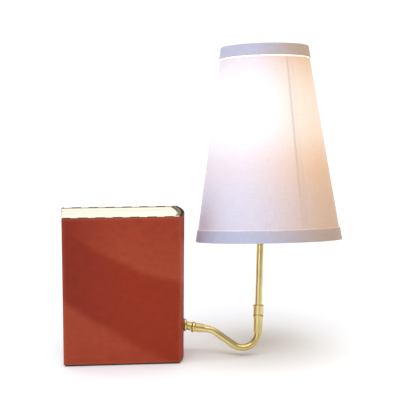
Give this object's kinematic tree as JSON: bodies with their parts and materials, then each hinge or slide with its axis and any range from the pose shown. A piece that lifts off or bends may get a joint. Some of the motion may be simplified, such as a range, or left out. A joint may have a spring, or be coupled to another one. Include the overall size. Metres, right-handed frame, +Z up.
{
  "type": "clip on reading lamp",
  "caption": "Reading lamp with a book-shaped weighted base, a bent brass swivel arm out of the spine and a tapered fabric shade clipped to the bulb.",
  "frame": {"origin": "middle of the underside of the book-shaped base, on the felt", "axes": "+Z up, +X from the book towards the lamp, -Y towards the reader"},
  "size_m": [0.3632, 0.205, 0.4046],
  "materials": {
    "red_leather": "satin",
    "page_paper": "matte",
    "band_cloth": "matte",
    "dark_felt": "matte",
    "plain_steel": "satin",
    "block_wood": "matte",
    "aged_brass": "satin",
    "black_rubber": "matte",
    "phenolic": "satin",
    "gold_lead": "satin",
    "fibre_sleeve": "matte",
    "aluminium_cap": "satin",
    "bulb_glass": "gloss",
    "filament_wire": "satin",
    "liner_sheet": "satin",
    "linen_cloth": "matte",
    "trim_cloth": "matte",
    "wire_steel": "satin"
  },
  "bodies": {
    "base": {"front_board": "red_leather", "back_board": "red_leather", "spine": "red_leather", "page_block": "page_paper", "head_band": "band_cloth", "felt_pad": "dark_felt", "ballast_block": "plain_steel", "anchor_block": "block_wood", "swivel_nipple": "plain_steel", "lock_washer": "plain_steel", "lock_nut": "plain_steel", "spine_flange": "aged_brass", "cord_bushing": "black_rubber", "terminal_block": "phenolic", "terminal_screw_left": "plain_steel", "terminal_screw_right": "plain_steel", "base_lead": "gold_lead"},
    "arm": {"neck": "aged_brass", "collar": "aged_brass", "arm_tube": "aged_brass", "arm_lead": "gold_lead", "ferrule_base": "aged_brass"},
    "stem": {"ferrule_cap": "aged_brass", "stem_tube": "aged_brass", "stem_lead": "gold_lead", "socket_cap": "aged_brass", "socket_shell": "aged_brass", "insulating_sleeve": "fibre_sleeve", "socket_core": "phenolic", "centre_contact": "aged_brass", "screw_shell": "aged_brass", "bulb_base": "aluminium_cap", "bulb_tip": "phenolic", "bulb_glass": "bulb_glass", "filament_support": "bulb_glass", "filament": "filament_wire"},
    "switch_key": {"switch_shaft": "aged_brass", "switch_knob": "phenolic"},
    "clip": {"clip_loop_left": "wire_steel", "clip_loop_right": "wire_steel", "clip_saddle": "wire_steel"},
    "shade": {"pivot_yoke": "wire_steel", "pivot_rivet": "wire_steel", "top_ring": "wire_steel", "bottom_ring": "wire_steel", "shade_liner": "liner_sheet", "shade_fabric": "linen_cloth", "top_trim": "trim_cloth", "bottom_trim": "trim_cloth", "spider_arm_1": "wire_steel", "spider_arm_2": "wire_steel", "spider_arm_3": "wire_steel"}
  },
  "joints": [
    {"name": "arm_swivel", "type": "hinge", "parent": "base", "child": "arm", "pos_m": [0.08105, 0, 0.0423], "axis": [1, 0, 0], "range_deg": [-40, 80]},
    {"name": "stem_swivel", "type": "hinge", "parent": "arm", "child": "stem", "pos_m": [0.17849, 0.00059, 0.04483], "axis": [0.041, 0.2248, 0.9736], "range_deg": [-110, 110]},
    {"name": "switch_turn", "type": "hinge", "parent": "stem", "child": "switch_key", "pos_m": [0.18603, 0.04192, 0.22387], "axis": [0, -0.9744, 0.225], "continuous": true},
    {"name": "shade_lift", "type": "slide", "parent": "stem", "child": "clip", "axis": [0.041, 0.2248, 0.9736], "range_m": [0, 0.21]},
    {"name": "shade_tilt", "type": "hinge", "parent": "clip", "child": "shade", "pos_m": [0.19207, 0.07505, 0.36737], "axis": [0, 0.9744, -0.225], "range_deg": [-14, 4]}
  ]
}
